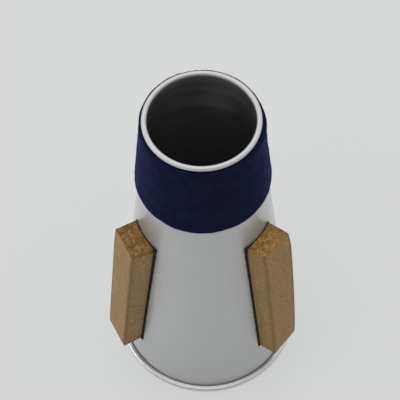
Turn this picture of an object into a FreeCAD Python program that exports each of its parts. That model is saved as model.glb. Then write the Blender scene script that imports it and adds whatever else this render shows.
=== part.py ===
import FreeCAD, Part
import Sketcher
import math
import os

# Straight mute for a flugelhorn: a spun aluminium cone with a rolled tip, closed at its wide
# end by a plate folded over the cone's flange, with a felt sleeve below the tip and three
# cork strips that wedge in the bell. It stands on the plate, tip up.
# The origin is the middle of the plate's underside and +Z is the mute's axis.

document = FreeCAD.newDocument("StraightMute")

# Driving sizes in millimetres, and angles in degrees
SIZES = {
    # The whole mute
    "overall_height": 150.0,
    "tip_diameter": 38.0,
    "seam_diameter": 79.0,
    # Spun cone: its sheet, the roll round its tip and the flange round its wide end
    "cone_wall": 0.7,
    "roll_bore": 0.3,
    "roll_slit_angle": 15.0,
    "flange_reach": 1.1,
    "flange_bend": 0.4,
    # Closing plate and the pressed ring that stiffens it
    "plate_thickness": 0.8,
    "ring_diameter": 54.0,
    "ring_width": 5.0,
    "ring_crown_width": 2.6,
    "ring_depth": 1.0,
    "fold_gap": 0.1,
    "lip_gap": 0.5,
    # Felt sleeve below the tip
    "sleeve_length": 31.3,
    "sleeve_thickness": 1.2,
    "sleeve_tip_gap": 0.25,
    "sleeve_edge_radius": 0.5,
    "sleeve_glue": 0.1,
    # Cork strips, cut to leave these gaps on the cone below the sleeve and above the floor
    "cork_top_gap": 19.5,
    "cork_foot_gap": 21.0,
    "cork_width": 13.5,
    "cork_thickness": 8.0,
    "cork_edge_radius": 0.5,
    "cork_glue": 0.1,
    "cork_glue_margin": 0.5,
    # Where each strip was set by hand: round the cone, slipped down its slope, and askew
    "left_turn_angle": -61.0,
    "left_slip": 1.4,
    "left_lean_angle": -1.5,
    "right_turn_angle": 50.9,
    "right_slip": -1.4,
    "right_lean_angle": -0.3,
    "rear_turn_angle": 174.7,
    "rear_slip": 0.1,
    "rear_lean_angle": 0.6,
    # Between a glue film and what it joins
    "seat_gap": 0.05,
}

# Rounding of the folded rim, as a share of its height
RIM_ROUND_SHARE = 0.42

sheet = document.addObject("Spreadsheet::Sheet", "Sizes")
for row, (name, size) in enumerate(SIZES.items(), start=1):
    sheet.set(f"A{row}", name)
    sheet.set(f"B{row}", str(size))
    sheet.setAlias(f"B{row}", name)
document.recompute()

# Formulas that several pieces share. The cone's outer face leaves the hollow of the tip
# roll as a tangent and meets the floor just inside the flange, which sets its slope.
ROLL_HOLLOW = "(Sizes.roll_bore / 2)"
ROLL_RADIUS = f"({ROLL_HOLLOW} + Sizes.cone_wall)"
ROLL_OUT = f"(Sizes.tip_diameter / 2 - {ROLL_RADIUS})"
ROLL_UP = f"(Sizes.overall_height - {ROLL_RADIUS})"
FLANGE_RADIUS = "(Sizes.seam_diameter / 2 - Sizes.plate_thickness - Sizes.fold_gap)"
SPREAD = f"({FLANGE_RADIUS} - Sizes.flange_reach - {ROLL_OUT})"
HALF_ANGLE = f"(atan({SPREAD} / {ROLL_UP}) + asin({ROLL_HOLLOW} / hypot({SPREAD}; {ROLL_UP})))"
SIN = f"sin({HALF_ANGLE})"
COS = f"cos({HALF_ANGLE})"
TAN = f"tan({HALF_ANGLE})"
FLANGE_UNDERSIDE = "(Sizes.plate_thickness + Sizes.seat_gap)"
FLANGE_TOP = f"({FLANGE_UNDERSIDE} + Sizes.cone_wall)"
LIP_UNDERSIDE = f"({FLANGE_TOP} + Sizes.seat_gap)"
RIM_HEIGHT = f"({LIP_UNDERSIDE} + Sizes.plate_thickness)"


def value(formula):
    """The number that a formula of the sheet's sizes gives."""
    return float(sheet.evalExpression(str(formula)))


def cone_radius(height, layer="0"):
    """Radius, at a height, of the cone face that lies one layer outside the bare metal."""
    at_roll = f"{ROLL_OUT} - ({ROLL_HOLLOW} - ({layer})) / {COS}"
    below_roll = f"({ROLL_UP} - ({height})) * {TAN}"
    return f"({at_roll} + {below_roll})"


def slope_point(down, layer="0"):
    """A point so far down the cone's slope from its tip roll, and one layer off the metal."""
    out = f"{ROLL_OUT} + (({layer}) - {ROLL_HOLLOW}) * {COS} + ({down}) * {SIN}"
    up = f"{ROLL_UP} + (({layer}) - {ROLL_HOLLOW}) * {SIN} - ({down}) * {COS}"
    return out, up


def roll_point(radius, angle):
    """A point of the tip roll's section, at a radius and an angle about the roll's centre."""
    out = f"{ROLL_OUT} + {radius} * cos({angle})"
    up = f"{ROLL_UP} + {radius} * sin({angle})"
    return out, up


def new_body(name):
    body = document.addObject("PartDesign::Body", name)
    body.Label = name
    return body


def origin_plane(body, role):
    return next(plane for plane in body.Origin.OriginFeatures if plane.Role == role)


def outline(body, name, corners, bends=None):
    """Closed outline upright through the axis, its corners pinned by formulas.

    bends maps a corner to the arc that leaves it: its centre, its radius and whether it
    turns clockwise. Every other piece is straight.
    """
    sketch = body.newObject("Sketcher::SketchObject", name)
    sketch.AttachmentSupport = (origin_plane(body, "XZ_Plane"), [""])
    sketch.MapMode = "FlatFace"
    places = [FreeCAD.Vector(value(out), value(up), 0) for out, up in corners]
    heads = []
    tails = []
    for index, here in enumerate(places):
        there = places[(index + 1) % len(places)]
        if bends and index in bends:
            centre, radius, clockwise = bends[index]
            middle = FreeCAD.Vector(value(centre[0]), value(centre[1]), 0)
            turn = [math.atan2(point.y - middle.y, point.x - middle.x) for point in (here, there)]
            circle = Part.Circle(middle, FreeCAD.Vector(0, 0, 1), value(radius))
            if clockwise:
                turn.reverse()
            sketch.addGeometry(Part.ArcOfCircle(circle, *turn))
            heads.append(2 if clockwise else 1)
            tails.append(1 if clockwise else 2)
        else:
            sketch.addGeometry(Part.LineSegment(here, there))
            heads.append(1)
            tails.append(2)
    for index in range(len(places)):
        following = (index + 1) % len(places)
        joint = Sketcher.Constraint("Coincident", index, tails[index], following, heads[following])
        sketch.addConstraint(joint)
    for index, (out, up) in enumerate(corners):
        pin(sketch, index, heads[index], "DistanceX", out, -2)
        pin(sketch, index, heads[index], "DistanceY", up, -1)
    for index, (centre, radius, clockwise) in (bends or {}).items():
        size = sketch.addConstraint(Sketcher.Constraint("Radius", index, value(radius)))
        sketch.setExpression(f"Constraints[{size}]", radius)
    return sketch


def pin(sketch, piece, end, direction, formula, axis):
    """Hold one coordinate of a corner at its formula, or on the axis where that is zero."""
    if formula == "0":
        sketch.addConstraint(Sketcher.Constraint("PointOnObject", piece, end, axis))
        return
    rule = Sketcher.Constraint(direction, -1, 1, piece, end, value(formula))
    number = sketch.addConstraint(rule)
    sketch.setExpression(f"Constraints[{number}]", formula)


def turned(body, kind, name, sketch):
    """Turn an outline a full round about the mute's axis, adding metal or taking it away."""
    feature = body.newObject(f"PartDesign::{kind}", name)
    feature.Profile = sketch
    feature.ReferenceAxis = (sketch, ["V_Axis"])
    feature.Angle = 360
    return feature


def rounded(body, name, feature, edges, radius):
    """Round some edges or faces of the last feature."""
    fillet = body.newObject("PartDesign::Fillet", name)
    fillet.Base = (feature, edges)
    fillet.setExpression("Radius", radius)
    return fillet


def ring_edges(feature, *rings):
    """Names of the circular edges nearest to the given radii and heights."""
    document.recompute()
    names = []
    for radius, height in rings:
        def distance(item):
            curve = item[1].Curve
            return abs(curve.Radius - value(radius)) + abs(curve.Center.z - value(height))
        circles = [
            (f"Edge{number}", edge)
            for number, edge in enumerate(feature.Shape.Edges, start=1)
            if isinstance(edge.Curve, Part.Circle)
        ]
        names.append(min(circles, key=distance)[0])
    return names


# Cone: one spun sheet, rolled outwards round the tip and turned out flat at the wide end

def make_cone_body():
    body = new_body("cone_body")
    wall_angle = f"180 deg + {HALF_ANGLE}"
    slit_angle = "270 + Sizes.roll_slit_angle"
    inner_corner = (cone_radius(FLANGE_UNDERSIDE, "-Sizes.cone_wall"), FLANGE_UNDERSIDE)
    outer_corner = (cone_radius(FLANGE_TOP), FLANGE_TOP)
    corners = [
        inner_corner,
        roll_point(ROLL_RADIUS, wall_angle),
        roll_point(ROLL_RADIUS, slit_angle),
        roll_point(ROLL_HOLLOW, slit_angle),
        roll_point(ROLL_HOLLOW, wall_angle),
        outer_corner,
        (FLANGE_RADIUS, FLANGE_TOP),
        (FLANGE_RADIUS, FLANGE_UNDERSIDE),
    ]
    centre = (ROLL_OUT, ROLL_UP)
    bends = {1: (centre, ROLL_RADIUS, True), 3: (centre, ROLL_HOLLOW, False)}
    section = outline(body, "sheet_section", corners, bends)
    shell = turned(body, "Revolution", "spun_sheet", section)
    outer_bend = ring_edges(shell, outer_corner)
    bent = rounded(body, "outer_bend", shell, outer_bend, "Sizes.flange_bend")
    inner_bend = ring_edges(bent, inner_corner)
    rounded(body, "inner_bend", bent, inner_bend, "Sizes.flange_bend + Sizes.cone_wall")
    return body


# Plate: a disc pressed up in a ring to stiffen it, its rim folded up and over the flange

def make_base_plate():
    body = new_body("base_plate")
    rim = "Sizes.seam_diameter / 2"
    fold = f"{rim} - Sizes.plate_thickness"
    lip = cone_radius(RIM_HEIGHT) + " + Sizes.lip_gap"
    foot_in = "(Sizes.ring_diameter - Sizes.ring_width) / 2"
    foot_out = "(Sizes.ring_diameter + Sizes.ring_width) / 2"
    crown_in = "(Sizes.ring_diameter - Sizes.ring_crown_width) / 2"
    crown_out = "(Sizes.ring_diameter + Sizes.ring_crown_width) / 2"
    top = "Sizes.plate_thickness"
    corners = [
        ("0", "0"),
        (foot_in, "0"),
        (crown_in, "Sizes.ring_depth"),
        (crown_out, "Sizes.ring_depth"),
        (foot_out, "0"),
        (rim, "0"),
        (rim, RIM_HEIGHT),
        (lip, RIM_HEIGHT),
        (lip, LIP_UNDERSIDE),
        (fold, LIP_UNDERSIDE),
        (fold, top),
        (foot_out, top),
        (crown_out, f"Sizes.ring_depth + {top}"),
        (crown_in, f"Sizes.ring_depth + {top}"),
        (foot_in, top),
        ("0", top),
    ]
    section = outline(body, "disc_section", corners)
    disc = turned(body, "Revolution", "pressed_disc", section)
    rim_edges = ring_edges(disc, (rim, "0"), (rim, RIM_HEIGHT))
    rounded(body, "rim_fold", disc, rim_edges, f"{RIM_HEIGHT} * {RIM_ROUND_SHARE}")
    return body


# Felt sleeve and the film that holds it, both wrapped on the cone just below the roll

SLEEVE_START = f"({ROLL_RADIUS} + Sizes.sleeve_tip_gap)"
SLEEVE_END = f"({SLEEVE_START} + Sizes.sleeve_length)"


def make_wrap(name, inner_layer, outer_layer):
    """A ring on the cone between two layers, as long as the sleeve."""
    body = new_body(name)
    corners = [
        slope_point(SLEEVE_END, inner_layer),
        slope_point(SLEEVE_START, inner_layer),
        slope_point(SLEEVE_START, outer_layer),
        slope_point(SLEEVE_END, outer_layer),
    ]
    section = outline(body, f"{name}_section", corners)
    return body, turned(body, "Revolution", f"{name}_ring", section), corners


def make_sleeve_adhesive():
    make_wrap("sleeve_adhesive", "Sizes.seat_gap", "Sizes.seat_gap + Sizes.sleeve_glue")


def make_tip_sleeve():
    inner = "2 * Sizes.seat_gap + Sizes.sleeve_glue"
    body, ring, corners = make_wrap("tip_sleeve", inner, f"{inner} + Sizes.sleeve_thickness")
    edges = ring_edges(ring, corners[2], corners[3])
    rounded(body, "felt_edges", ring, edges, "Sizes.sleeve_edge_radius")


# Cork strips: flat bars laid down the slope. Their adhesive is a thin film along the middle
# and fills the wedges that a flat back leaves over a round cone.

CORK_START = f"({SLEEVE_END} + Sizes.cork_top_gap)"
CORK_LENGTH = f"({ROLL_UP} / {COS} - {CORK_START} - Sizes.cork_foot_gap)"


def strip_block(body, side, margin, layer, thickness=None):
    """Bar over the strip's place, from a layer outwards, or inwards to the mute's axis."""
    start = f"{CORK_START} + Sizes.{side}_slip - ({margin})"
    length = f"({CORK_LENGTH} + 2 * ({margin}))"
    half = f"(Sizes.cork_width / 2 + ({margin}))"
    lean = f"Sizes.{side}_lean_angle"
    across = (f"{half} * cos({lean})", f"{half} * sin({lean})")
    along = (f"{length} * sin({lean})", f"{length} * cos({lean})")
    corners = [
        (f"0 - {across[0]}", f"0 - {across[1]}"),
        (f"{across[0]}", f"{across[1]}"),
        (f"{across[0]} + {along[0]}", f"{across[1]} - {along[1]}"),
        (f"{along[0]} - {across[0]}", f"0 - {across[1]} - {along[1]}"),
    ]
    sketch = outline(body, f"{body.Name}_face", corners)
    out, up = slope_point(start, layer)
    sketch.AttachmentOffset = FreeCAD.Placement(
        FreeCAD.Vector(0, value(up), value(out)),
        FreeCAD.Rotation(FreeCAD.Vector(-1, 0, 0), value(HALF_ANGLE)),
    )
    sketch.setExpression("AttachmentOffset.Base.y", up)
    sketch.setExpression("AttachmentOffset.Base.z", out)
    sketch.setExpression("AttachmentOffset.Rotation.Angle", HALF_ANGLE)
    pad = body.newObject("PartDesign::Pad", f"{body.Name}_bar")
    pad.Profile = sketch
    pad.Reversed = thickness is None
    pad.setExpression("Length", thickness or out)
    return pad


def hollow_to_cone(body, layer):
    """Take away all that lies inside one layer of the cone."""
    corners = [
        ("0", "0"),
        (cone_radius("0", layer), "0"),
        (cone_radius("Sizes.overall_height", layer), "Sizes.overall_height"),
        ("0", "Sizes.overall_height"),
    ]
    section = outline(body, f"{body.Name}_seat_section", corners)
    turned(body, "Groove", f"{body.Name}_seat", section)


def outer_face(feature):
    """Name of the flat face that looks straight away from the cone."""
    document.recompute()
    angle = math.radians(value(HALF_ANGLE))
    outward = FreeCAD.Vector(0, -math.cos(angle), math.sin(angle))
    faces = [
        (f"Face{number}", face)
        for number, face in enumerate(feature.Shape.Faces, start=1)
        if isinstance(face.Surface, Part.Plane)
    ]
    return max(faces, key=lambda item: item[1].CenterOfMass.dot(outward))[0]


def turn_round(body, side):
    body.Placement = FreeCAD.Placement(
        FreeCAD.Vector(0, 0, 0),
        FreeCAD.Rotation(FreeCAD.Vector(0, 0, 1), value(f"Sizes.{side}_turn_angle")),
    )
    body.setExpression("Placement.Rotation.Angle", f"Sizes.{side}_turn_angle")


def make_cork_adhesive(side):
    body = new_body(f"cork_{side}_adhesive")
    strip_block(body, side, "Sizes.cork_glue_margin", "Sizes.seat_gap + Sizes.cork_glue")
    hollow_to_cone(body, "Sizes.seat_gap")
    turn_round(body, side)


def make_cork(side):
    body = new_body(f"cork_{side}")
    back = "2 * Sizes.seat_gap + Sizes.cork_glue"
    bar = strip_block(body, side, "0", back, "Sizes.cork_thickness")
    rounded(body, f"{side}_edges", bar, [outer_face(bar)], "Sizes.cork_edge_radius")
    turn_round(body, side)


make_cone_body()
make_base_plate()
make_sleeve_adhesive()
make_tip_sleeve()
for side in ("left", "right", "rear"):
    make_cork_adhesive(side)
    make_cork(side)
document.recompute()

# Every feature has to hold before anything is written
for item in document.Objects:
    if "Invalid" in item.State or "Error" in item.State:
        raise RuntimeError(f"{item.Label} did not rebuild: {item.State}")
bodies = [item for item in document.Objects if item.TypeId == "PartDesign::Body"]
for body in bodies:
    if body.Shape.isNull() or not body.Shape.isValid() or len(body.Shape.Solids) != 1:
        raise RuntimeError(f"{body.Label} is not one sound solid")

os.makedirs("parts", exist_ok=True)
for body in bodies:
    body.Shape.exportStep(os.path.join("parts", f"{body.Label}.step"))
    box = body.Shape.optimalBoundingBox(False, False)
    reach = f"{box.XLength:.2f} x {box.YLength:.2f} x {box.ZLength:.2f} mm"
    print(f"{body.Label}: {reach}, from {box.ZMin:.2f} up, {body.Shape.Volume:.1f} mm3")
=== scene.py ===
import math

import bmesh
import bpy
from mathutils import Matrix, Vector, noise


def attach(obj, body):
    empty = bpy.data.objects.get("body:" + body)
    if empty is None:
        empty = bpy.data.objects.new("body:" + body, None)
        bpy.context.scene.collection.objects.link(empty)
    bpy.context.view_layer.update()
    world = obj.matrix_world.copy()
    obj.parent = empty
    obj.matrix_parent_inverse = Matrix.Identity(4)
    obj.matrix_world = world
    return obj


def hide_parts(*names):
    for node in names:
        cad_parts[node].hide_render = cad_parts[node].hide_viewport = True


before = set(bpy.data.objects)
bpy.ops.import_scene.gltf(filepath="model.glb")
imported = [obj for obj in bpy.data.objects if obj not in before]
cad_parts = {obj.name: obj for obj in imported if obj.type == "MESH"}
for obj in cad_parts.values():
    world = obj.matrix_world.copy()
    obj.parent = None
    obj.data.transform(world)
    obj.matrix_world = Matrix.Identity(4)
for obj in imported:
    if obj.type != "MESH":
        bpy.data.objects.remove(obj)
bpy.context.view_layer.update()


# Cone: one sheet of aluminium, spun on a mandrel and rolled outwards round its tip to make a
# smooth mouth. The outside keeps the satin of fine turning marks, the roll is polished, and
# the inside has a thin dark wash. One patch of the far inner wall below the mouth is painted
# lighter, as a pool of light, and the wash is lighter further down.

OVERALL_HEIGHT = 150.0
TIP_RADIUS = 19.0
CONE_WALL = 0.7
ROLL_HOLLOW = 0.15
ROLL_RADIUS = ROLL_HOLLOW + CONE_WALL
ROLL_OUT = TIP_RADIUS - ROLL_RADIUS
ROLL_UP = OVERALL_HEIGHT - ROLL_RADIUS
FLANGE_INNER = 37.5

# The cone's outer face is a tangent to the roll's hollow and ends at the flange's inner edge
SPREAD = FLANGE_INNER - ROLL_OUT
SLOPE = math.atan(SPREAD / ROLL_UP) + math.asin(ROLL_HOLLOW / math.hypot(SPREAD, ROLL_UP))
SIN = math.sin(SLOPE)
COS = math.cos(SLOPE)
TAN = math.tan(SLOPE)

# Where one finish fades into the next, from and to, in millimetres
ROLL_POLISH = (148.1, 148.5)
WALL_MIDDLE = (-0.1, 0.1)
WASH_TOP = (148.6, 148.9)
WASH_LIGHTER_BELOW = (70.0, 140.0)
WASH_DARK_SIDES = (8.0, 17.0)
# Painted light: the centre of a lighter patch on the far inner wall, then its reach
PAINTED_LIGHT_PLACE = (5.0, 17.5, 132.0)
PAINTED_LIGHT_REACH = (1.0, 9.0)

TURNING_DEPTH = 0.006
SATIN = ((0.430, 0.435, 0.442), (0.525, 0.530, 0.535))
POLISHED = (0.60, 0.60, 0.605)
WASH = ((0.088, 0.089, 0.086), (0.218, 0.223, 0.214))
WASH_AT_SIDES = (0.05, 0.05, 0.048)
# Painted light: the colour of the lit patch on the far inner wall
WASH_PAINTED_LIGHT = (0.33, 0.34, 0.33)
WASH_LOW_DOWN = (0.30, 0.30, 0.29)


class Flow:
    """A value on its way through a node tree. Sums on it add the Math nodes that they need."""

    def __init__(self, socket):
        self.socket = socket

    @staticmethod
    def node(tree, kind, settings=None, inputs=None):
        """Adds a node with its settings, then the values or links of its sockets."""
        node = tree.nodes.new(kind)
        for name, setting in (settings or {}).items():
            setattr(node, name, setting)
        for name, value in (inputs or {}).items():
            if isinstance(name, int):
                socket = node.inputs[name]
            else:
                socket = next(each for each in node.inputs if each.name == name and each.enabled)
            if isinstance(value, Flow):
                tree.links.new(value.socket, socket)
            elif socket.type == "VECTOR" and isinstance(value, (int, float)):
                socket.default_value = (value, value, value)
            else:
                socket.default_value = value
        return {socket.name: Flow(socket) for socket in node.outputs if socket.enabled}

    @staticmethod
    def sum(operation, *values):
        """Adds a Math node, or a Vector Math node where a value is a vector or a colour."""
        flows = [value for value in values if isinstance(value, Flow)]
        kinds = {flow.socket.type for flow in flows}
        if kinds & {"VECTOR", "RGBA"} or any(isinstance(value, tuple) for value in values):
            kind = "ShaderNodeVectorMath"
        else:
            kind = "ShaderNodeMath"
        tree = flows[0].socket.id_data
        result = Flow.node(tree, kind, {"operation": operation}, dict(enumerate(values)))
        return next(iter(result.values()))

    def __add__(self, other):
        return Flow.sum("ADD", self, other)

    __radd__ = __add__

    def __sub__(self, other):
        return Flow.sum("SUBTRACT", self, other)

    def __rsub__(self, other):
        return Flow.sum("SUBTRACT", other, self)

    def __mul__(self, other):
        return Flow.sum("MULTIPLY", self, other)

    __rmul__ = __mul__

    def __truediv__(self, other):
        return Flow.sum("DIVIDE", self, other)

    def at_least(self, other):
        """This value, or the other where that is larger."""
        return Flow.sum("MAXIMUM", self, other)

    def at_most(self, other):
        """This value, or the other where that is smaller."""
        return Flow.sum("MINIMUM", self, other)

    def size(self):
        """The value without its sign."""
        return Flow.sum("ABSOLUTE", self)

    def root(self):
        """The square root of the value."""
        return Flow.sum("SQRT", self)

    def parts(self):
        """The three coordinates of a vector."""
        split = Flow.node(self.socket.id_data, "ShaderNodeSeparateXYZ", None, {"Vector": self})
        return split["X"], split["Y"], split["Z"]

    def rising(self, low, high):
        """0 below low, 1 above high and a smooth step between them."""
        sockets = {"Value": self, "From Min": low, "From Max": high}
        smooth = {"interpolation_type": "SMOOTHSTEP"}
        return Flow.node(self.socket.id_data, "ShaderNodeMapRange", smooth, sockets)["Result"]

    def tint(self, start, end):
        """The colour that goes from start to end as this value goes from 0 to 1."""
        ends = [(*colour, 1.0) if isinstance(colour, tuple) else colour for colour in (start, end)]
        sockets = {"Factor": self, "A": ends[0], "B": ends[1]}
        colours = {"data_type": "RGBA"}
        return Flow.node(self.socket.id_data, "ShaderNodeMix", colours, sockets)["Result"]

    def cloud(self, detail, roughness):
        """Soft noise from 0 to 1, whose waves are about one unit of this place across."""
        sockets = {"Vector": self, "Scale": 1.0, "Detail": detail, "Roughness": roughness}
        return Flow.node(self.socket.id_data, "ShaderNodeTexNoise", None, sockets)["Fac"]


def new_finish(name):
    """An empty material, its node tree and the place on the piece in millimetres."""
    material = bpy.data.materials.new(name)
    material.use_nodes = True
    tree = material.node_tree
    tree.nodes.clear()
    place = Flow.node(tree, "ShaderNodeTexCoord")["Object"] * 1000.0
    return material, tree, place


def close_finish(tree, sockets):
    """The surface shader of a finish, with what varies over the piece linked to it."""
    surface = Flow.node(tree, "ShaderNodeBsdfPrincipled", None, sockets)["BSDF"]
    Flow.node(tree, "ShaderNodeOutputMaterial", None, {"Surface": surface})


def bumped(tree, height, depth):
    """Normals for a relief whose height runs from 0 to 1 and whose depth is in millimetres."""
    sockets = {"Height": height, "Strength": 1.0, "Distance": depth / 1000.0}
    return Flow.node(tree, "ShaderNodeBump", None, sockets)["Normal"]


def dress(piece, material):
    """Puts one material on a whole piece."""
    piece.data.materials.clear()
    piece.data.materials.append(material)


def make_satin_cone():
    """Satin metal outside, a polished roll, and the dark wash inside with a painted pool of light.
    """
    material, tree, place = new_finish("satin_turned_cone")
    x, y, height = place.parts()
    radius = (x * x + y * y).root()
    middle_of_wall = ROLL_OUT - (ROLL_HOLLOW + CONE_WALL / 2) / COS + (ROLL_UP - height) * TAN
    below_roll = 1.0 - height.rising(*WASH_TOP)
    inside = (middle_of_wall - radius).rising(*WALL_MIDDLE) * below_roll
    roll = height.rising(*ROLL_POLISH)
    # Painted light: a soft patch of the far inner wall below the mouth, lightened as if lit
    from_painted_light = (place - PAINTED_LIGHT_PLACE) * (1.0, 1.0, 0.7)
    wear_and_painted_light = 1.0 - Flow.sum("LENGTH", from_painted_light).rising(*PAINTED_LIGHT_REACH)

    fine_marks = (place * (0.02, 0.02, 7.0)).cloud(detail=3.0, roughness=0.7)
    wide_marks = (place * (0.03, 0.03, 0.9)).cloud(detail=2.0, roughness=0.6)
    streaks = (place * (0.45, 0.45, 0.012)).cloud(detail=2.0, roughness=0.6)
    rings = (place * (0.02, 0.02, 0.42)).cloud(detail=3.0, roughness=0.65).rising(0.3, 0.7)
    marks = fine_marks * 0.6 + wide_marks * 0.4
    metal = (marks * 0.6 + streaks * 0.4).tint(*SATIN)
    metal = roll.tint(metal, POLISHED)
    wash = (marks * 0.3 + rings * 0.7).tint(*WASH)
    wash = (x.size().rising(*WASH_DARK_SIDES) * 0.6).tint(wash, WASH_AT_SIDES)
    # Painted light: the patch lightens the wash
    wash = (wear_and_painted_light * (0.5 + rings * 0.4)).tint(wash, WASH_PAINTED_LIGHT)
    # The wash turns lighter further down the inside
    wash = height.rising(*WASH_LIGHTER_BELOW).tint(WASH_LOW_DOWN, wash)
    close_finish(tree, {
        "Base Color": inside.tint(metal, wash),
        "Metallic": 0.45 - inside * 0.25 + roll * 0.05,
        "Roughness": 0.42 + marks * 0.10 + roll * 0.04 + inside * 0.12,
        "Anisotropic": 0.7,
        "Coat Weight": (1.0 - inside) * (1.0 - roll),
        "Coat Roughness": 0.2,
        "Normal": bumped(tree, fine_marks * (1.0 - roll), TURNING_DEPTH),
    })
    return material


cone_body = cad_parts["cone_body"]
dress(cone_body, make_satin_cone())


# Closing plate: a disc of slightly thicker aluminium sheet, turned smooth in a lathe, with a
# ring pressed up to stiffen it. Its rim is folded over the cone's flange, which holds it.

RIM_POLISH = (38.6, 39.4)
TURNED = ((0.54, 0.545, 0.555), (0.68, 0.685, 0.69))
BRIGHT_RIM = (0.72, 0.72, 0.725)


def make_satin_plate():
    """Satin metal with its turning marks round the axis, rubbed bright at the rim."""
    material, tree, place = new_finish("satin_turned_plate")
    x, y, height = place.parts()
    radius = (x * x + y * y).root()
    around = Flow.node(tree, "ShaderNodeCombineXYZ", None, {"X": radius * 6.0, "Y": height * 6.0})
    fine_marks = around["Vector"].cloud(detail=3.0, roughness=0.7)
    wear_and_painted_light = (place * 0.09).cloud(detail=3.0, roughness=0.6)
    metal = (fine_marks * 0.7 + wear_and_painted_light * 0.3).tint(*TURNED)
    close_finish(tree, {
        "Base Color": radius.rising(*RIM_POLISH).tint(metal, BRIGHT_RIM),
        "Metallic": 1.0,
        "Roughness": 0.30 + wear_and_painted_light * 0.16,
        "Anisotropic": 0.5,
        "Normal": bumped(tree, fine_marks, TURNING_DEPTH),
    })
    return material


base_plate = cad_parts["base_plate"]
dress(base_plate, make_satin_plate())


# Sleeve's cement: contact cement brushed on the cone below the roll, which dries to a thin
# amber film. It holds the felt, and only its edges show.

AMBER = ((0.30, 0.22, 0.10), (0.46, 0.38, 0.22))
AMBER_RELIEF = 0.03


def make_amber_film():
    """Dried cement with marks of the brush round the cone."""
    material, tree, place = new_finish("amber_film")
    brushed = (place * (0.5, 0.5, 2.0)).cloud(detail=3.0, roughness=0.6)
    close_finish(tree, {
        "Base Color": brushed.tint(*AMBER),
        "Roughness": 0.35 + brushed * 0.25,
        "Normal": bumped(tree, brushed, AMBER_RELIEF),
    })
    return material


sleeve_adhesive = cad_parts["sleeve_adhesive"]
dress(sleeve_adhesive, make_amber_film())


# Felt sleeve: a curved band of navy wool felt, cut by hand, stretched round the cone on its
# cement and butted at the back. It is matt and a little lumpy, and its edges are soft.

SLEEVE_START = 1.1
SLEEVE_LENGTH = 31.3
SLEEVE_INNER = 0.2
SLEEVE_THICKNESS = 1.2
SLEEVE_EDGE = 0.5
SLEEVE_AROUND = 480
SLEEVE_DOWN = 72
SLEEVE_ROUND_STEPS = 5
SLEEVE_BACK_STEPS = 6
SLEEVE_BACK_SHARE = 0.3

# The band is fuller at its upper end than at its lower, most so at the right and at the back
SWELL_ALL_ROUND = 0.38
SWELL_AT_BACK = 0.45
SWELL_AT_RIGHT = 0.60
SWELL_RIGHT_TURN = 1.30
SWELL_RIGHT_REACH = 0.5
SWELL_FADE = 6.0

# How far from each end the hand-cut edges tell, and how far they stray there
CUT_SHARE = 0.1
CUT_WAVES_DOWN = 9.0
CUT_STRAYS = 0.30
CUT_NIBBLES = 0.07
CUT_STRAIGHTER_ABOVE = 0.25
CUT_HIGHER_AT_BACK = 0.25

# Butt seam at the back, which the pull round the cone nearly closes at its upper end
SEAM_TURN = math.pi
SEAM_RADIUS = 21.0
SEAM_WIDTH = 0.30
SEAM_DEPTH = 0.55
SEAM_CLOSED_ABOVE = 0.85
SEAM_REACH = 0.07
SEAM_STEP = 0.009
SEAM_STEPS = 7

NAVY = ((0.0035, 0.0049, 0.0195), (0.0090, 0.0125, 0.049))
NAVY_SHEEN = (0.22, 0.31, 1.0, 1.0)
PILE_DEPTH = 0.16


def cone_point(turn, down, layer):
    """A point so far down the cone's slope, one layer off the metal; turn 0 faces the front."""
    out = ROLL_OUT + (layer - ROLL_HOLLOW) * COS + down * SIN
    up = ROLL_UP + (layer - ROLL_HOLLOW) * SIN - down * COS
    return Vector((out * math.sin(turn), -out * math.cos(turn), up))


def felt_section():
    """Rounded section of the felt: how far down, how far out of its thickness, both 0 to 1."""
    edge_down = SLEEVE_EDGE / SLEEVE_LENGTH
    edge_out = SLEEVE_EDGE / SLEEVE_THICKNESS
    points = []
    for step in range(SLEEVE_DOWN + 1):
        points.append((edge_down + (1 - 2 * edge_down) * step / SLEEVE_DOWN, 1.0))
    for step in range(1, SLEEVE_ROUND_STEPS + 1):
        angle = math.radians(90 - 90 * step / SLEEVE_ROUND_STEPS)
        down = 1 - edge_down + edge_down * math.cos(angle)
        points.append((down, 1 - edge_out + edge_out * math.sin(angle)))
    points.append((1.0, SLEEVE_BACK_SHARE))
    for step in range(SLEEVE_BACK_STEPS + 1):
        points.append((1 - step / SLEEVE_BACK_STEPS, 0.0))
    points.append((0.0, SLEEVE_BACK_SHARE))
    for step in range(SLEEVE_ROUND_STEPS):
        angle = math.radians(180 - 90 * step / SLEEVE_ROUND_STEPS)
        down = edge_down + edge_down * math.cos(angle)
        points.append((down, 1 - edge_out + edge_out * math.sin(angle)))
    return points


def bumps(place, apart, height):
    """How high smooth bumps of this height stand at a place, so far apart."""
    return noise.noise(place / apart) * height


def cut_line(turn, share_down, waves):
    """How a cut line wavers round the cone, with so many waves to a radian."""
    down = share_down * CUT_WAVES_DOWN
    return noise.noise(Vector((math.sin(turn) * waves, math.cos(turn) * waves, down)))


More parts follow.
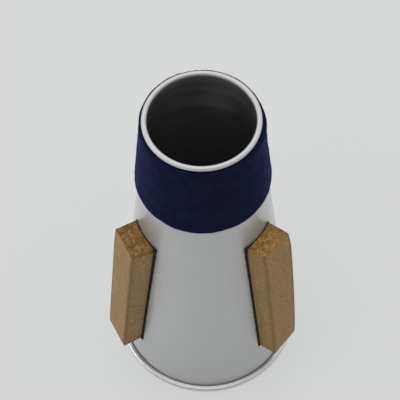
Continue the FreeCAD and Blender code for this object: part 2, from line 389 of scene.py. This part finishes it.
def felt_point(turn, share_down, share_out):
    """A point of the felt, with the lumps and hand-cut edges of the real band."""
    place = cone_point(turn, share_down * SLEEVE_LENGTH, SLEEVE_THICKNESS)
    lump = bumps(place, apart=5.5, height=0.16) + bumps(place, apart=2.1, height=0.07)
    fuzz = bumps(place, apart=0.75, height=0.045)
    cut = cut_line(turn, share_down, waves=4.0)
    nibble = cut_line(turn, share_down, waves=21.0)
    at_lower_end = max(0.0, (share_down - (1 - CUT_SHARE)) / CUT_SHARE)
    at_upper_end = max(0.0, (CUT_SHARE - share_down) / CUT_SHARE)
    at_back = max(0.0, -math.cos(turn)) ** 2
    at_right = math.exp(-(((turn - SWELL_RIGHT_TURN) / SWELL_RIGHT_REACH) ** 4))
    swell = SWELL_ALL_ROUND + SWELL_AT_BACK * at_back + SWELL_AT_RIGHT * at_right
    full = math.exp(-share_down * SWELL_FADE) * swell
    from_seam = (turn - SEAM_TURN) * SEAM_RADIUS
    groove = SEAM_DEPTH * math.exp(-((from_seam / SEAM_WIDTH) ** 2))
    groove *= 1.0 - SEAM_CLOSED_ABOVE * at_upper_end
    down = SLEEVE_START + share_down * SLEEVE_LENGTH
    strayed = cut * CUT_STRAYS + nibble * CUT_NIBBLES
    down += (at_lower_end - CUT_STRAIGHTER_ABOVE * at_upper_end) * strayed
    down -= CUT_HIGHER_AT_BACK * at_back * at_upper_end
    layer = SLEEVE_INNER + share_out * (SLEEVE_THICKNESS + full + lump + fuzz - groove)
    return cone_point(turn, down, layer)


def make_felt():
    """The closed band, in finer steps at the seam, with the faces that carry nap marked."""
    section = felt_section()
    turns = [2 * math.pi * step / SLEEVE_AROUND for step in range(SLEEVE_AROUND)]
    turns = [turn for turn in turns if abs(turn - SEAM_TURN) > SEAM_REACH]
    turns += [SEAM_TURN + SEAM_STEP * step for step in range(-SEAM_STEPS, SEAM_STEPS + 1)]
    turns.sort()
    mesh = bpy.data.meshes.new("felt_sleeve")
    shape = bmesh.new()
    rings = []
    for turn in turns:
        rings.append([shape.verts.new(felt_point(turn, *point) / 1000) for point in section])
    for here, there in zip(rings, rings[1:] + rings[:1]):
        for index in range(len(section)):
            following = (index + 1) % len(section)
            face = shape.faces.new((here[index], here[following], there[following], there[index]))
            face.smooth = True
    bmesh.ops.recalc_face_normals(shape, faces=shape.faces)
    shape.to_mesh(mesh)
    shape.free()
    shares = [share_out if share_out > 0.5 else 0.0 for _ in turns for _, share_out in section]
    mesh.attributes.new("nap", "FLOAT", "POINT").data.foreach_set("value", shares)
    piece = bpy.data.objects.new("felt_sleeve", mesh)
    bpy.context.scene.collection.objects.link(piece)
    return piece


def make_navy_felt():
    """Matt wool with clumps, fibres and a bluish sheen where it is seen along its surface."""
    material, tree, place = new_finish("navy_felt")
    clumps = (place * 0.35).cloud(detail=3.0, roughness=0.6)
    fibres = (place * (3.2, 3.2, 5.0)).cloud(detail=4.0, roughness=0.75)
    strands = (place * (0.9, 0.9, 6.5)).cloud(detail=3.0, roughness=0.7)
    pile = fibres * 0.6 + strands * 0.4
    close_finish(tree, {
        "Base Color": (clumps * 0.45 + pile * 0.55).rising(0.25, 0.78).tint(*NAVY),
        "Roughness": 0.95,
        "Specular IOR Level": 0.06,
        "Sheen Weight": 0.38,
        "Sheen Roughness": 0.14,
        "Sheen Tint": NAVY_SHEEN,
        "Normal": bumped(tree, pile, PILE_DEPTH),
    })
    return material


felt = make_felt()
dress(felt, make_navy_felt())
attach(felt, "root")
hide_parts("tip_sleeve")


# Nap: the short ends of the wool's own fibres, which stand off the felt all over it, bent over
# by handling. They soften its outline, and are held by the felting alone.

NAP_SIZES = {
    "Felt": "Geometry", "Density": "Float", "Length": "Float", "Lift": "Float",
    "Thickness": "Float", "Seed": "Int",
}
NAP_SHORTEST = 0.45
NAP_LONGEST = 1.25
LOOSE_NAVY = ((0.006, 0.008, 0.028), (0.018, 0.024, 0.075))


def new_pattern(name, sizes):
    """A node tree that makes geometry, with a named input for each size, and its inputs."""
    tree = bpy.data.node_groups.new(name, "GeometryNodeTree")
    tree.interface.new_socket(name="Shape", in_out="OUTPUT", socket_type="NodeSocketGeometry")
    for label, kind in sizes.items():
        tree.interface.new_socket(name=label, in_out="INPUT", socket_type=f"NodeSocket{kind}")
    return tree, Flow.node(tree, "NodeGroupInput")


def close_pattern(tree, shape, material):
    """Ends a tree with real geometry in one material."""
    real = Flow.node(tree, "GeometryNodeRealizeInstances", None, {"Geometry": shape})["Geometry"]
    sockets = {"Geometry": real, "Material": material}
    finished = Flow.node(tree, "GeometryNodeSetMaterial", None, sockets)["Geometry"]
    Flow.node(tree, "NodeGroupOutput", None, {"Shape": finished})


def make_by_pattern(name, tree, sizes, start=None):
    """Runs a tree with these sizes, and keeps what it makes as a plain mesh."""
    source = bpy.data.objects.new(name, start or bpy.data.meshes.new(name))
    bpy.context.scene.collection.objects.link(source)
    modifier = source.modifiers.new(name, "NODES")
    modifier.node_group = tree
    for item in tree.interface.items_tree:
        if item.in_out == "INPUT" and item.name in sizes:
            modifier[item.identifier] = sizes[item.name]
    graph = bpy.context.evaluated_depsgraph_get()
    graph.update()
    mesh = bpy.data.meshes.new_from_object(source.evaluated_get(graph))
    source.modifiers.remove(modifier)
    source.data = mesh
    mesh.name = name
    return source


def nap_pattern():
    """Bent wool ends, laid every way over the faces that carry nap."""
    tree, given = new_pattern("wool_ends", NAP_SIZES)
    nap = Flow.node(tree, "GeometryNodeInputNamedAttribute", None, {"Name": "nap"})["Attribute"]
    points = Flow.node(tree, "GeometryNodeDistributePointsOnFaces", None, {
        "Mesh": given["Felt"], "Selection": nap.rising(0.5, 0.9), "Density": given["Density"],
        "Seed": given["Seed"],
    })
    middle = Flow.node(tree, "ShaderNodeCombineXYZ", None, {
        "X": given["Length"] * 0.55, "Y": given["Length"] * 0.12, "Z": given["Lift"] * 1.6,
    })
    end = Flow.node(tree, "ShaderNodeCombineXYZ", None, {
        "X": given["Length"], "Y": given["Length"] * -0.1, "Z": given["Lift"],
    })
    line = Flow.node(tree, "GeometryNodeCurveQuadraticBezier", None, {
        "Resolution": 3, "Start": (0.0, 0.0, 0.0), "Middle": middle["Vector"], "End": end["Vector"],
    })["Curve"]
    ring = Flow.node(tree, "GeometryNodeCurvePrimitiveCircle", None, {
        "Resolution": 3, "Radius": given["Thickness"] * 0.5,
    })["Curve"]
    fibre = Flow.node(tree, "GeometryNodeCurveToMesh", None, {
        "Curve": line, "Profile Curve": ring, "Fill Caps": True,
    })["Mesh"]
    scale = Flow.node(tree, "FunctionNodeRandomValue", {"data_type": "FLOAT"}, {
        "Min": NAP_SHORTEST, "Max": NAP_LONGEST, "Seed": 3,
    })["Value"]
    laid = Flow.node(tree, "GeometryNodeInstanceOnPoints", None, {
        "Points": points["Points"], "Instance": fibre,
        "Rotation": points["Rotation"], "Scale": scale,
    })["Instances"]
    turn = Flow.node(tree, "FunctionNodeRandomValue", {"data_type": "FLOAT"}, {
        "Min": 0.0, "Max": 2 * math.pi, "Seed": 8,
    })["Value"]
    spin = Flow.node(tree, "ShaderNodeCombineXYZ", None, {"Z": turn})["Vector"]
    turned = Flow.node(tree, "GeometryNodeRotateInstances", None, {
        "Instances": laid, "Rotation": spin, "Local Space": True,
    })["Instances"]
    close_pattern(tree, turned, make_loose_wool())
    return tree


def make_loose_wool():
    """Wool of the felt's colour, a little lighter where single fibres catch the light."""
    material, tree, place = new_finish("loose_wool")
    strand = (place * 1.3).cloud(detail=2.0, roughness=0.6)
    close_finish(tree, {
        "Base Color": strand.rising(0.35, 0.7).tint(*LOOSE_NAVY),
        "Roughness": 0.9,
        "Specular IOR Level": 0.2,
    })
    return material


nap = make_by_pattern("felt_nap", nap_pattern(), {
    "Density": 1.5e6, "Length": 0.0006, "Lift": 0.0001, "Thickness": 0.000022, "Seed": 5,
}, felt.data.copy())
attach(nap, "root")


# Cork cement: dark contact cement under each strip. Its nearly black band beside the strip is
# also painted shade, standing in for the shadow and dark reflection along the strip's edge. It
# was brushed on wider than the strip along one side, is thin along the middle, and fills the
# wedge under the strip's free corner.

STRIP_WIDTH = 13.5
STRIP_LENGTH = 77.5
STRIP_START = 51.9

# How each strip sits: its turn from the front, how far down the slope it starts, its lean, the
# side whose back stands free (1 is the right, seen from outside) and the cement brushed on there
STRIPS = {
    "left": {
        "Turn": math.radians(-61.0), "Start": STRIP_START + 1.4, "Lean": math.radians(-1.5),
        "Free": 1.0, "Brushed": 1.05,
    },
    "right": {
        "Turn": math.radians(50.9), "Start": STRIP_START - 1.4, "Lean": math.radians(-0.3),
        "Free": -1.0, "Brushed": 0.8,
    },
    "rear": {
        "Turn": math.radians(174.7), "Start": STRIP_START + 0.1, "Lean": math.radians(0.6),
        "Free": 0.0, "Brushed": 0.8,
    },
}
STRIP_SIZES = {
    "Turn": "Float", "Start": "Float", "Lean": "Float", "Seed": "Float",
    "Free": "Float", "Brushed": "Float",
}

# How much of the cone's curve the soft back has taken: least at the free upper corner
GIVE_LEAST = 0.4
GIVE_SETTLED = 0.5
GIVE_SETTLES_BY = 5.0

CEMENT_INNER = 0.05
CEMENT_OUTER = 0.15
CEMENT_STEPS = (60, 240, 7)
CEMENT_ROUNDING = 0.3
CEMENT_DEPTH = 0.08
# Cement colours, dark enough to stand in as painted shade beside the strips
CEMENT_AND_SHADE_TONES = ((0.009, 0.005, 0.002), (0.026, 0.015, 0.005))

# How far the cement stands out beside the strip and past its ends, and how that varies
CEMENT_MARGIN = 0.8
CEMENT_AHEAD = 0.25
CEMENT_SWAYS = 1.2
CEMENT_STRAYS_AHEAD = 0.5
FAR_SIDE_SHORTER = 0.4
PINCHED_SHORTER = 0.55
PINCHED_DOWN_TO = (2.0, 10.0)
SQUEEZED = 0.2
SQUEEZED_SWAY = 0.4
SQUEEZED_AT_ENDS = 0.4
FAR_SIDE_FLATTER = 0.6
STRIP_BAND = (STRIP_WIDTH / 2 - 0.7, STRIP_WIDTH / 2 - 0.1)
STRIP_SIDE = (STRIP_WIDTH / 2 - 0.1, STRIP_WIDTH / 2 + 0.1)
STRIP_END = (STRIP_LENGTH / 2 - 0.1, STRIP_LENGTH / 2 + 0.1)


def flat_bar(tree, width, length, thickness, steps, edge):
    """A flat bar in fine squares, and its points with the edges of its outer side rounded.

    It is laid on the cone with its length turned down, which mirrors it. So its faces are
    turned round here, and end up pointing outwards.
    """
    cube = Flow.node(tree, "GeometryNodeMeshCube", None, {
        "Size": (width, length, thickness),
        "Vertices X": steps[0], "Vertices Y": steps[1], "Vertices Z": steps[2],
    })["Mesh"]
    bar = Flow.node(tree, "GeometryNodeFlipFaces", None, {"Mesh": cube})["Mesh"]
    place = Flow.node(tree, "GeometryNodeInputPosition")["Position"]
    core = place.at_most((width / 2 - edge, length / 2 - edge, thickness / 2 - edge))
    core = core.at_least((edge - width / 2, edge - length / 2, -thickness))
    rounded = core + Flow.sum("NORMALIZE", place - core) * edge
    _, _, out = place.parts()
    off_back = out.rising(-thickness / 2, edge - thickness / 2)
    return bar, place + (rounded - place) * off_back


def off_cone(across, reach, layer):
    """How far off the cone's slope one of its layers lies, beside the strip's middle line."""
    bend = reach * COS + layer * SIN * SIN
    spread = across * across * COS * COS - reach * (2 * layer * COS) - layer * layer
    double = math.cos(2 * SLOPE)
    return ((bend * bend - spread * double).root() - bend) / double


def give_of_back(toward_free, from_start):
    """The share of the cone's curve that the soft back has taken here."""
    pressed = (0.0 - toward_free).rising(0.0, STRIP_WIDTH / 2)
    settled = from_start.rising(0.0, GIVE_SETTLES_BY)
    return GIVE_LEAST + GIVE_SETTLED * pressed.at_least(settled)


def pressed_back(aside, reach, layer, give):
    """How far off the slope a layer of the pressed back lies."""
    return layer + give * off_cone(aside, reach, 0.0)


def laid_on_cone(tree, given, across, down, share, inner, outer):
    """Lays a point of a flat bar on the cone, between two distances off its slope."""
    lean_sin = Flow.sum("SINE", given["Lean"])
    lean_cos = Flow.sum("COSINE", given["Lean"])
    aside = across * lean_cos + down * lean_sin
    along = given["Start"] + down * lean_cos - across * lean_sin
    reach = along * SIN + (ROLL_OUT - ROLL_HOLLOW * COS)
    low = inner(aside, reach)
    high = outer(aside, reach)
    off = low + share * (high - low)
    spot = Flow.node(tree, "ShaderNodeCombineXYZ", None, {
        "X": aside,
        "Y": 0.0 - (reach + off * COS),
        "Z": (ROLL_UP - ROLL_HOLLOW * SIN) + off * SIN - along * COS,
    })["Vector"]
    around = {"Vector": spot, "Angle": given["Turn"]}
    return Flow.node(tree, "ShaderNodeVectorRotate", {"rotation_type": "Z_AXIS"}, around)["Vector"]


def moved(tree, shape, place):
    """Puts each point of a shape at its place, in metres."""
    sockets = {"Geometry": shape, "Position": place}
    return Flow.node(tree, "GeometryNodeSetPosition", None, sockets)["Geometry"]


def cement_pattern():
    """Cement between the cone and a strip, that stands out past its edges unevenly."""
    tree, given = new_pattern("cork_cement", STRIP_SIZES)
    width = STRIP_WIDTH + 2 * CEMENT_MARGIN
    length = STRIP_LENGTH + 2 * CEMENT_AHEAD
    film, place = flat_bar(tree, width, length, 1.0, CEMENT_STEPS, CEMENT_ROUNDING)
    across, down, out = place.parts()
    edge_of_film = {"X": across * 0.02, "Y": down, "Z": given["Seed"]}
    beside = Flow.node(tree, "ShaderNodeCombineXYZ", None, edge_of_film)["Vector"]
    sway = (beside * 0.35).cloud(detail=3.0, roughness=0.7) - 0.5
    end_of_film = {"X": across, "Y": down * 0.02, "Z": given["Seed"]}
    ahead = Flow.node(tree, "ShaderNodeCombineXYZ", None, end_of_film)["Vector"]
    push = (ahead * 0.5).cloud(detail=2.0, roughness=0.6) - 0.5
    down = down * (1.0 + push * (CEMENT_STRAYS_AHEAD / length)) + length / 2 - CEMENT_AHEAD

    toward_free = across * given["Free"]
    free_side = toward_free.rising(*STRIP_BAND)
    far_side = (0.0 - toward_free).rising(*STRIP_BAND)
    pinched = far_side * (1.0 - down.rising(*PINCHED_DOWN_TO))
    brushed = free_side * (given["Brushed"] / CEMENT_MARGIN - 1.0)
    brushed = brushed - far_side * FAR_SIDE_SHORTER - pinched * PINCHED_SHORTER
    margin = (across.size() - STRIP_WIDTH / 2).at_least(0.0)
    swayed = across.size() * sway * (CEMENT_SWAYS / width) * (1.0 - pinched)
    across = across + Flow.sum("SIGN", across) * (margin * brushed + swayed)

    beyond_side = across.size().rising(*STRIP_SIDE)
    beyond_end = (down - STRIP_LENGTH / 2).size().rising(*STRIP_END) * SQUEEZED_AT_ENDS
    squeezed = beyond_side.at_least(beyond_end) * (SQUEEZED + sway * SQUEEZED_SWAY)
    squeezed = squeezed * (1.0 - far_side * FAR_SIDE_FLATTER)
    give = give_of_back(toward_free, down)
    laid = laid_on_cone(
        tree, given, across, down, out + 0.5,
        lambda aside, reach: off_cone(aside, reach, CEMENT_INNER),
        lambda aside, reach: pressed_back(aside, reach, CEMENT_OUTER, give) + squeezed,
    )
    close_pattern(tree, moved(tree, film, laid * 0.001), make_cement_and_shade())
    return tree


def make_cement_and_shade():
    """Nearly black brown, with the strings that contact cement pulls; its dark is also painted
    shade.
    """
    material, tree, place = new_finish("dark_cement_and_shade")
    strings = (place * (1.1, 1.1, 0.6)).cloud(detail=4.0, roughness=0.65)
    close_finish(tree, {
        "Base Color": strings.tint(*CEMENT_AND_SHADE_TONES),
        "Roughness": 0.7 + strings * 0.3,
        "Specular IOR Level": 0.3,
        "Normal": bumped(tree, strings, CEMENT_DEPTH),
    })
    return material


cement_tree = cement_pattern()
for number, (side, sizes) in enumerate(STRIPS.items()):
    cement = make_by_pattern(f"cement_{side}", cement_tree, {**sizes, "Seed": 7.0 + 5.0 * number})
    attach(cement, "root")
    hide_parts(f"cork_{side}_adhesive")


# Cork strips: sawn from a block of pressed cork granules. The long sides are sanded smooth
# and dusty, the ends are raw and show the granules, and the outer side is eased at its ends.

STRIP_INNER = 0.2
STRIP_OUTER = 8.2
STRIP_EDGE = 0.45
STRIP_STEPS = (50, 220, 27)

# How a strip is worn, in millimetres: its upper end eased, its outer side bowed along the far
# edge and low along the free one. Then how ragged its cuts are, and how much painted light
# lightens its raw ends while painted shade darkens its sanded sides.
STRIP_WEAR = {
    "Ease": "Float", "Bow": "Float", "Low": "Float", "Torn": "Float", "Painted_light": "Float",
}
PLAIN_WEAR = {"Ease": 0.3, "Bow": 0.0, "Low": 0.0, "Torn": 1.0, "Painted_light": 0.0}
WEAR_OF_STRIP = {
    "left": {**PLAIN_WEAR, "Low": -0.33, "Torn": 5.0},
    "right": {"Ease": 0.9, "Bow": 0.9, "Low": 0.85, "Torn": 1.0, "Painted_light": 0.5},
    "rear": PLAIN_WEAR,
}

# The outer side, eased towards both ends and bowed from a crown nearer the upper end
EASE_LENGTH = 9.0
LOWER_EASE = 0.35
LESS_AT_FREE_SIDE = 0.6
CROWN_SHARE = 0.3
BOW_STEEPNESS = 2.4
# Dark edges of grime and painted shade: the outer side's long edges, and the far edge of the ends
CORNER_WIDTH = 1.9
CORNER_WEAR_AND_SHADE = (STRIP_WIDTH / 2 - CORNER_WIDTH, STRIP_WIDTH / 2)
FAR_EDGE = (STRIP_WIDTH / 2 - 0.9, STRIP_WIDTH / 2 - 0.2)

# Where the sawn ends and the sides begin, and how ragged the line between them is
CUT_END = (STRIP_LENGTH / 2 - STRIP_EDGE, STRIP_LENGTH / 2 - 0.1)
CUT_SIDE = (STRIP_WIDTH / 2 - 0.3, STRIP_WIDTH / 2 - 0.1)
RAGGED_RISE = 2.4
RAGGED_BASE = 0.5
RAGGED_ALL_OVER = 0.6
RAGGED_FADE = (-0.2, 0.2)

# Granules: the share of one that its dark edge takes, and which of them were torn out
GRANULE_SIZE = 0.95
GAP_SHARE = 0.16
TORN_OUT = (0.955, 0.975)

# Depths of the relief, in millimetres, on the raw cuts and on the sanded sides
RAW_GAP = 0.14
RAW_LIFT = 0.12
SANDED_LOW = 0.004
SANDED_GAP = 0.012
TORN_DEPTH = 0.05
TORN_DEEPER_RAW = 0.10
CORK_RELIEF = 0.12

GRANULE_TONES = ((0.20, 0.10, 0.022), (0.84, 0.50, 0.108))
GRANULE_REDDISH = (0.56, 0.31, 0.16)
GRANULE_CRUMB = (0.14, 0.07, 0.022)
GRANULE_GAP = (0.12, 0.06, 0.02)
GRANULE_CORNER = (0.08, 0.062, 0.020)
DUST_TONES = ((0.300, 0.206, 0.080), (0.392, 0.250, 0.124))
# Painted shade: the darker dust colour of a strip's sanded sides
DUST_PAINTED_SHADE = (0.290, 0.180, 0.060)
DUST_CRUMB = (0.22, 0.13, 0.055)
SANDED_DARK = (0.27, 0.165, 0.072)
SANDED_REDDISH = (0.45, 0.31, 0.155)
SANDED_GAP_TONE = (0.19, 0.11, 0.045)
SANDED_CORNER = (0.20, 0.115, 0.045)
SANDED_TORN = (0.17, 0.09, 0.035)


def stored(tree, shape, name, value, kind="FLOAT"):
    """Keeps a value of each point under a name, for what comes after."""
    keep = {"data_type": kind, "domain": "POINT"}
    sockets = {"Geometry": shape, "Name": name, "Value": value}
    return Flow.node(tree, "GeometryNodeStoreNamedAttribute", keep, sockets)["Geometry"]


def cork_pattern():
    """A strip with raw ends and the pits that torn granules leave."""
    tree, given = new_pattern("cork_strip", {**STRIP_SIZES, **STRIP_WEAR})
    thickness = STRIP_OUTER - STRIP_INNER
    bar, place = flat_bar(tree, STRIP_WIDTH, STRIP_LENGTH, thickness, STRIP_STEPS, STRIP_EDGE)
    across, down, out = place.parts()
    grain = place + given["Seed"]
    share = out / thickness + 0.5
    toward_free = across * given["Free"]
    share_free = 0.5 + toward_free * (1.0 / STRIP_WIDTH)
    from_start = down + STRIP_LENGTH / 2

    cut_end = down.size().rising(*CUT_END)
    at_side = across.size().rising(*CUT_SIDE)
    ragged = (grain * 0.8).cloud(detail=2.0, roughness=0.6) * RAGGED_RISE - RAGGED_BASE
    torn_off = given["Torn"] * (1.0 - share) * ragged + ragged * RAGGED_ALL_OVER
    from_end = STRIP_LENGTH / 2 - down.size()
    raw = cut_end.at_least((torn_off - from_end).rising(*RAGGED_FADE) * at_side)

    # Dark edges, partly grime and partly painted shade
    toward_side = across.size().rising(*CORNER_WEAR_AND_SHADE)
    corner = toward_side * out.rising(thickness / 2 - CORNER_WIDTH, thickness / 2)
    far_edge = (0.0 - toward_free).rising(*FAR_EDGE)
    corner = corner.at_least(far_edge * cut_end)

    upper_ease = (1.0 - from_start / EASE_LENGTH).at_least(0.0)
    lower_ease = (from_start / EASE_LENGTH - (STRIP_LENGTH / EASE_LENGTH - 1.0)).at_least(0.0)
    from_crown = from_start * (1.0 / STRIP_LENGTH) - CROWN_SHARE
    bowed = (from_crown * from_crown * BOW_STEEPNESS - 1.0) * given["Bow"]
    eased = upper_ease * upper_ease * given["Ease"] * (1.0 - share_free * LESS_AT_FREE_SIDE)
    eased = eased + lower_ease * lower_ease * LOWER_EASE
    eased = eased + (1.0 - share_free) * bowed + share_free * given["Low"]
    give = give_of_back(toward_free, from_start)
    laid = laid_on_cone(
        tree, given, across, from_start, share,
        lambda aside, reach: pressed_back(aside, reach, STRIP_INNER, give),
        lambda aside, reach: STRIP_OUTER - eased,
    )

    shape = stored(tree, bar, "grain", grain, "FLOAT_VECTOR")
    shape = stored(tree, shape, "raw", raw)
    shape = stored(tree, shape, "corner", corner)
    # How much painted light lightens the raw ends and painted shade darkens the sanded sides
    shape = stored(tree, shape, "wear_and_painted_light", given["Painted_light"])
    shape = moved(tree, shape, laid * 0.001)
    kind = {"data_type": "FLOAT_VECTOR"}
    grain = Flow.node(tree, "GeometryNodeInputNamedAttribute", kind, {"Name": "grain"})["Attribute"]
    raw = Flow.node(tree, "GeometryNodeInputNamedAttribute", None, {"Name": "raw"})["Attribute"]
    gaps, cell = granules(tree, grain)
    lift, torn, _ = cell.parts()
    rough = raw * (gaps * RAW_GAP + lift * RAW_LIFT - RAW_LIFT / 2)
    rough = rough + (1.0 - raw) * (SANDED_LOW + gaps * SANDED_GAP)
    pits = torn.rising(*TORN_OUT) * (TORN_DEPTH + raw * TORN_DEEPER_RAW) * (1.0 - gaps)
    facing = Flow.node(tree, "GeometryNodeInputNormal")["Normal"]
    sunk = Flow.node(tree, "GeometryNodeSetPosition", None, {
        "Geometry": shape, "Offset": facing * ((rough + pits) * -0.001),
    })["Geometry"]
    smooth = Flow.node(tree, "GeometryNodeSetShadeSmooth", None, {"Geometry": sunk})
    close_pattern(tree, next(iter(smooth.values())), make_sanded_cork())
    return tree


def granules(tree, grain):
    """Pressed granules: the dark gaps between them, and three numbers of its own for each."""
    wander = Flow.node(tree, "ShaderNodeTexNoise", None, {
        "Vector": grain, "Scale": 0.9, "Detail": 2.0,
    })["Color"]
    bent = Flow.sum("MULTIPLY_ADD", grain, (1.0, 1.0, 1.0), wander)
    sockets = {"Vector": bent, "Scale": 1.0 / GRANULE_SIZE, "Randomness": 1.0}
    cell = Flow.node(tree, "ShaderNodeTexVoronoi", None, sockets)["Color"]
    edged = {"feature": "DISTANCE_TO_EDGE"}
    distance = Flow.node(tree, "ShaderNodeTexVoronoi", edged, sockets)["Distance"]
    return 1.0 - distance.rising(0.0, GAP_SHARE), cell


def kept(tree, name):
    """What the pattern stored under a name, for a material."""
    return Flow.node(tree, "ShaderNodeAttribute", {"attribute_name": name})


def make_sanded_cork():
    """Bare granules on the raw cuts, and dust that half hides them elsewhere, with painted light
    and shade.
    """
    material, tree, _ = new_finish("sanded_cork")
    grain = kept(tree, "grain")["Vector"]
    raw = kept(tree, "raw")["Fac"]
    wear_and_painted_light = kept(tree, "wear_and_painted_light")["Fac"]
    corner = kept(tree, "corner")["Fac"]
    gaps, cell = granules(tree, grain)
    tone, torn, warm = cell.parts()
    crumbs = (grain * 4.5).cloud(detail=3.0, roughness=0.7)
    filled = (grain * 0.8 + 7.0).cloud(detail=2.0, roughness=0.6).rising(0.42, 0.62)
    bands = (grain * (0.25, 0.05, 0.25)).cloud(detail=2.0, roughness=0.6)
    scuffs = (grain * (0.9, 0.12, 0.9)).cloud(detail=3.0, roughness=0.7)

    granule = tone.tint(*GRANULE_TONES)
    granule = (warm.rising(0.7, 0.9) * 0.6).tint(granule, GRANULE_REDDISH)
    granule = crumbs.rising(0.35, 0.75).tint(GRANULE_CRUMB, granule)
    cut = (gaps * (0.65 - filled * 0.5)).tint(granule, GRANULE_GAP)
    # Painted light: the raw ends are lightened
    cut = cut * (wear_and_painted_light * 0.5 + 1.0)
    # Grime and painted shade darken the edges of the raw ends
    cut = (corner * 0.85).tint(cut, GRANULE_CORNER)

    dust = (bands * 0.6 + scuffs * 0.4).rising(0.3, 0.7).tint(*DUST_TONES)
    # Painted shade: the sanded sides are darkened
    dust = wear_and_painted_light.tint(dust, DUST_PAINTED_SHADE)
    dust = (crumbs.rising(0.62, 0.8) * 0.35).tint(dust, DUST_CRUMB)
    sanded = (tone.rising(0.2, 0.9) * 0.55).tint(dust, SANDED_DARK)
    sanded = (warm.rising(0.6, 0.9) * 0.55).tint(sanded, SANDED_REDDISH)
    sanded = (gaps * 0.35).tint(sanded, SANDED_GAP_TONE)
    # Grime and painted shade darken the edges of the sanded sides
    sanded = (corner * (0.45 + crumbs * 0.5)).tint(sanded, SANDED_CORNER)
    sanded = (torn.rising(*TORN_OUT) * 0.35).tint(sanded, SANDED_TORN)
    relief = ((1.0 - gaps) * 0.4 + crumbs * 0.6) * (0.25 + raw * 0.75)
    close_finish(tree, {
        "Base Color": raw.tint(sanded, cut),
        "Roughness": 0.86 - raw * 0.1,
        "Specular IOR Level": 0.3,
        "Normal": bumped(tree, relief, CORK_RELIEF),
    })
    return material


cork_tree = cork_pattern()
for number, (side, sizes) in enumerate(STRIPS.items()):
    sizes = {**sizes, **WEAR_OF_STRIP[side], "Seed": 31.0 + 170.0 * number}
    cork = make_by_pattern(f"cork_strip_{side}", cork_tree, sizes)
    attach(cork, "root")
    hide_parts(f"cork_{side}")


# Studio: a pale floor that the mute stands on, one broad soft lamp above and a little behind
# it, a weak one at each side, and a long lens that looks down on the tip from the front.

FLOOR_HALF = 3.0
FLOOR_BELOW = 0.0002
FLOOR_TONES = ((0.665, 0.68, 0.672), (0.685, 0.70, 0.692))
FLOOR_OWN_LIGHT = 0.68
FLOOR_IN_GLOSS = 0.3
ROOM_TONES = ((0.30, 0.30, 0.305), (0.75, 0.75, 0.755))
BACKDROP = (0.67, 0.68, 0.675)
LENS_LENGTH = 81.0
FRAME_WIDTH = 36.0
CAMERA_DOWN = 60.13
CAMERA_ROLL = -1.853
CAMERA_PLACE = (-0.00133, -0.16173, 0.38038)


def make_pale_floor():
    """A pale floor that looks evenly light to the camera, yet keeps the mute's shadow."""
    material, tree, place = new_finish("pale_floor")
    colour = (place * 0.004).cloud(detail=3.0, roughness=0.6).tint(*FLOOR_TONES)
    lit = Flow.node(tree, "ShaderNodeBsdfDiffuse", None, {"Color": colour})["BSDF"]
    plain = Flow.node(tree, "ShaderNodeEmission", None, {"Color": colour, "Strength": 1.0})
    ray = Flow.node(tree, "ShaderNodeLightPath")
    seen = ray["Is Camera Ray"].at_least(ray["Is Glossy Ray"] * FLOOR_IN_GLOSS)
    shaders = {"Fac": seen * FLOOR_OWN_LIGHT, 1: lit, 2: plain["Emission"]}
    surface = Flow.node(tree, "ShaderNodeMixShader", None, shaders)["Shader"]
    Flow.node(tree, "ShaderNodeOutputMaterial", None, {"Surface": surface})
    return material


floor_mesh = bpy.data.meshes.new("floor")
floor_shape = bmesh.new()
bmesh.ops.create_grid(floor_shape, x_segments=2, y_segments=2, size=FLOOR_HALF)
bmesh.ops.translate(floor_shape, verts=floor_shape.verts, vec=(0, 0, -FLOOR_BELOW))
floor_shape.to_mesh(floor_mesh)
floor_shape.free()
floor = bpy.data.objects.new("floor", floor_mesh)
bpy.context.scene.collection.objects.link(floor)
dress(floor, make_pale_floor())


def hang_lamp(name, place, aim, side, power):
    """A soft square lamp at a place, turned towards its aim."""
    lamp = bpy.data.lights.new(name, "AREA")
    lamp.shape = "SQUARE"
    lamp.size = side
    lamp.energy = power
    stand = bpy.data.objects.new(name, lamp)
    bpy.context.scene.collection.objects.link(stand)
    turn = (Vector(place) - Vector(aim)).to_track_quat("Z", "Y").to_matrix().to_4x4()
    stand.matrix_world = Matrix.Translation(place) @ turn


hang_lamp("overhead", place=(-0.15, 0.5, 1.8), aim=(0.0, 0.03, 0.05), side=1.8, power=11.0)
hang_lamp("left_fill", place=(-1.3, -0.2, 0.6), aim=(0.0, 0.0, 0.08), side=0.8, power=3.5)
hang_lamp("right_fill", place=(1.2, 0.3, 0.5), aim=(0.0, 0.0, 0.10), side=0.8, power=1.0)

world = bpy.data.worlds.new("studio")
bpy.context.scene.world = world
world.use_nodes = True
world.node_tree.nodes.clear()
seen = Flow.node(world.node_tree, "ShaderNodeLightPath")["Is Camera Ray"]
side, back, above = Flow.node(world.node_tree, "ShaderNodeTexCoord")["Generated"].parts()
room = (back * 0.8 + above * 0.6 + side.size() * 0.3).rising(-0.65, 0.35).tint(*ROOM_TONES)
sockets = {"Color": seen.tint(room, BACKDROP), "Strength": 1.0}
sky = Flow.node(world.node_tree, "ShaderNodeBackground", None, sockets)
Flow.node(world.node_tree, "ShaderNodeOutputWorld", None, {"Surface": sky["Background"]})

lens = bpy.data.cameras.new("camera")
lens.sensor_width = FRAME_WIDTH
lens.lens = LENS_LENGTH
lens.clip_start = 0.01
camera = bpy.data.objects.new("camera", lens)
bpy.context.scene.collection.objects.link(camera)
look_down = Matrix.Rotation(math.radians(90 - CAMERA_DOWN), 4, "X")
tilt = Matrix.Rotation(math.radians(CAMERA_ROLL), 4, "Z")
camera.matrix_world = Matrix.Translation(CAMERA_PLACE) @ look_down @ tilt
bpy.context.scene.camera = camera
bpy.context.scene.view_settings.view_transform = "Standard"
